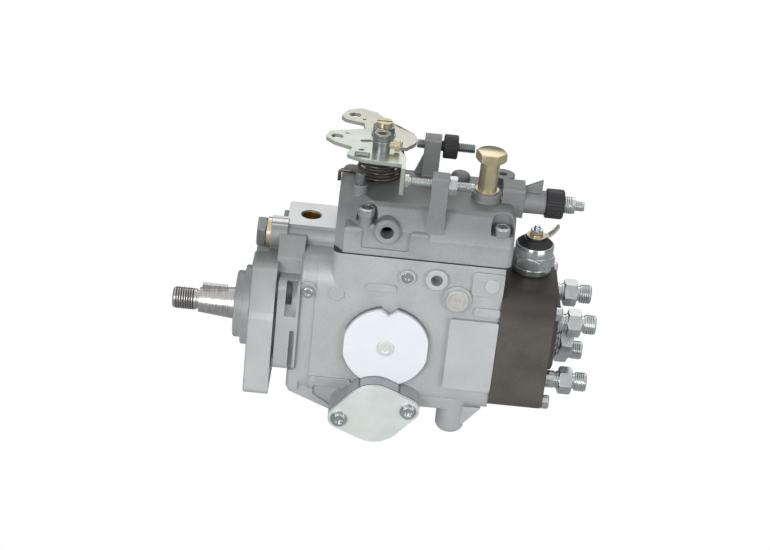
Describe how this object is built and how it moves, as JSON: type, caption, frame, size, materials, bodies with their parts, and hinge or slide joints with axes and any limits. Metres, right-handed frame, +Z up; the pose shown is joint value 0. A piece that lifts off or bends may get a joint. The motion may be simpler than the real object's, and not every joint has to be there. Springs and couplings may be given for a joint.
{
  "type": "diesel injection pump",
  "caption": "Rotary distributor fuel injection pump: flanged alloy body, keyed taper shaft, governor cover with throttle levers, fuel outlets on a round-cornered head.",
  "frame": {"origin": "centre of the locating spigot, in the plane of the flange's front face", "axes": "+X along the drive shaft towards the distributor head, +Z up towards the governor cover, -Y towards the side that carries the type plate"},
  "size_m": [0.2625, 0.1161, 0.189],
  "materials": {
    "cast_alloy": "as-cast grey alloy, fine grain",
    "cover_alloy": "as-cast mid grey alloy",
    "head_iron": "dark brown oxide",
    "steel": "ground steel",
    "dark_steel": "dark hardened steel",
    "zinc": "bright zinc plate",
    "lever_zinc": "pale yellow-green passivated zinc",
    "lever_pink": "pale pinkish passivated zinc",
    "gold_zinc": "yellow passivated zinc",
    "brass": "brass",
    "plate_alloy": "bare bright sheet",
    "black_plastic": "black",
    "gasket": "dark gasket sheet",
    "spring_steel": "spring wire"
  },
  "bodies": {
    "pump": {"housing": "cast_alloy", "governor_cover": "cover_alloy", "cover_gasket": "gasket", "cover_screws": "zinc", "shaft_seal": "gasket", "shaft_bush": "dark_steel", "pump_ring": "dark_steel", "pump_plate": "dark_steel", "governor_shaft": "steel", "governor_lock_nut": "zinc", "sealing_washers": "gold_zinc", "distributor_head": "head_iron", "distributor_barrel": "dark_steel", "head_screws": "zinc", "valve_holders": "zinc", "centre_plug": "zinc", "solenoid_body": "zinc", "solenoid_insulator": "black_plastic", "terminal_stud": "zinc", "terminal_tag": "brass", "timing_covers": "zinc", "timing_gaskets": "gasket", "timing_screws": "zinc", "inlet_strainer": "brass", "overflow_bolt": "gold_zinc", "idle_screw": "zinc", "idle_lock_nut": "zinc", "max_speed_screw": "zinc", "tamper_collars": "black_plastic", "full_load_screw": "zinc", "spring_anchor": "zinc", "type_plate": "plate_alloy", "plate_rivet": "steel", "body_plugs": "zinc", "pivot_screws": "steel", "return_spring": "spring_steel"},
    "drive_shaft": {"drive_shaft": "steel", "shaft_key": "steel", "pump_rotor": "dark_steel", "drive_gear": "dark_steel"},
    "cam_plate": {"cam_plate": "dark_steel", "distributor_plunger": "steel"},
    "weight_carrier": {"flyweight_carrier": "dark_steel"},
    "weight_1": {"flyweight_1": "dark_steel"},
    "weight_2": {"flyweight_2": "dark_steel"},
    "weight_3": {"flyweight_3": "dark_steel"},
    "weight_4": {"flyweight_4": "dark_steel"},
    "sleeve": {"governor_sleeve": "steel"},
    "governor_lever": {"governor_lever": "dark_steel"},
    "spool": {"control_spool": "steel"},
    "throttle": {"throttle_shaft": "gold_zinc", "control_lever": "lever_zinc", "upper_lever": "lever_pink", "lever_nut": "zinc", "lever_bush": "zinc"},
    "timing_piston": {"timing_piston": "steel"},
    "roller_ring": {"roller_ring": "dark_steel", "advance_pin": "steel"},
    "stop_plunger": {"solenoid_plunger": "steel"}
  },
  "joints": [
    {"name": "shaft_spin", "type": "hinge", "parent": "pump", "child": "drive_shaft", "pos_m": [0, 0, 0], "axis": [1, 0, 0], "continuous": true},
    {"name": "cam_spin", "type": "hinge", "parent": "pump", "child": "cam_plate", "pos_m": [0.095, 0, 0], "axis": [1, 0, 0], "continuous": true},
    {"name": "carrier_spin", "type": "hinge", "parent": "pump", "child": "weight_carrier", "pos_m": [0.0565, 0, 0.05175], "axis": [1, 0, 0], "continuous": true},
    {"name": "sleeve_slide", "type": "slide", "parent": "pump", "child": "sleeve", "axis": [1, 0, 0], "range_m": [0, 0.00165]},
    {"name": "weight_1_swing", "type": "hinge", "parent": "weight_carrier", "child": "weight_1", "pos_m": [0.0695, -0.01061, 0.06236], "axis": [0, -0.7071, -0.7071], "range_deg": [0, 14.2]},
    {"name": "weight_2_swing", "type": "hinge", "parent": "weight_carrier", "child": "weight_2", "pos_m": [0.0695, -0.01061, 0.04114], "axis": [0, 0.7071, -0.7071], "range_deg": [0, 14.2]},
    {"name": "weight_3_swing", "type": "hinge", "parent": "weight_carrier", "child": "weight_3", "pos_m": [0.0695, 0.01061, 0.04114], "axis": [0, 0.7071, 0.7071], "range_deg": [0, 14.2]},
    {"name": "weight_4_swing", "type": "hinge", "parent": "weight_carrier", "child": "weight_4", "pos_m": [0.0695, 0.01061, 0.06236], "axis": [0, -0.7071, 0.7071], "range_deg": [0, 14.2]},
    {"name": "governor_lever_swing", "type": "hinge", "parent": "pump", "child": "governor_lever", "pos_m": [0.125, 0, 0.0373], "axis": [0, 1, 0], "range_deg": [0, 6.6]},
    {"name": "spool_slide", "type": "slide", "parent": "pump", "child": "spool", "axis": [-1, 0, 0], "range_m": [0, 0.00325]},
    {"name": "throttle_turn", "type": "hinge", "parent": "pump", "child": "throttle", "pos_m": [0.071, 0.014, 0.1], "axis": [0, 0, 1], "range_deg": [-35, 0], "stiffness_Nm_per_rad": 0.5, "springref_deg": 20.05},
    {"name": "ring_turn", "type": "hinge", "parent": "pump", "child": "roller_ring", "pos_m": [0.081, 0, 0], "axis": [1, 0, 0], "range_deg": [0, 12]},
    {"name": "piston_slide", "type": "slide", "parent": "pump", "child": "timing_piston", "axis": [0, 1, 0], "range_m": [0, 0.0082]},
    {"name": "stop_plunger_slide", "type": "slide", "parent": "pump", "child": "stop_plunger", "axis": [0, 0, 1], "range_m": [0, 0.0015], "stiffness_N_per_m": 800, "springref_m": -0.002}
  ],
  "couplings": [
    {"joint": "cam_spin", "follows": "shaft_spin", "ratio": 1},
    {"joint": "carrier_spin", "follows": "shaft_spin", "ratio": -1.3793},
    {"joint": "weight_1_swing", "follows": "sleeve_slide", "rad_per_m": 148.15},
    {"joint": "weight_2_swing", "follows": "sleeve_slide", "rad_per_m": 148.15},
    {"joint": "weight_3_swing", "follows": "sleeve_slide", "rad_per_m": 148.15},
    {"joint": "weight_4_swing", "follows": "sleeve_slide", "rad_per_m": 148.15},
    {"joint": "governor_lever_swing", "follows": "sleeve_slide", "rad_per_m": 69.204},
    {"joint": "spool_slide", "follows": "sleeve_slide", "ratio": 1.9377},
    {"joint": "piston_slide", "follows": "ring_turn", "m_per_rad": 0.039}
  ]
}
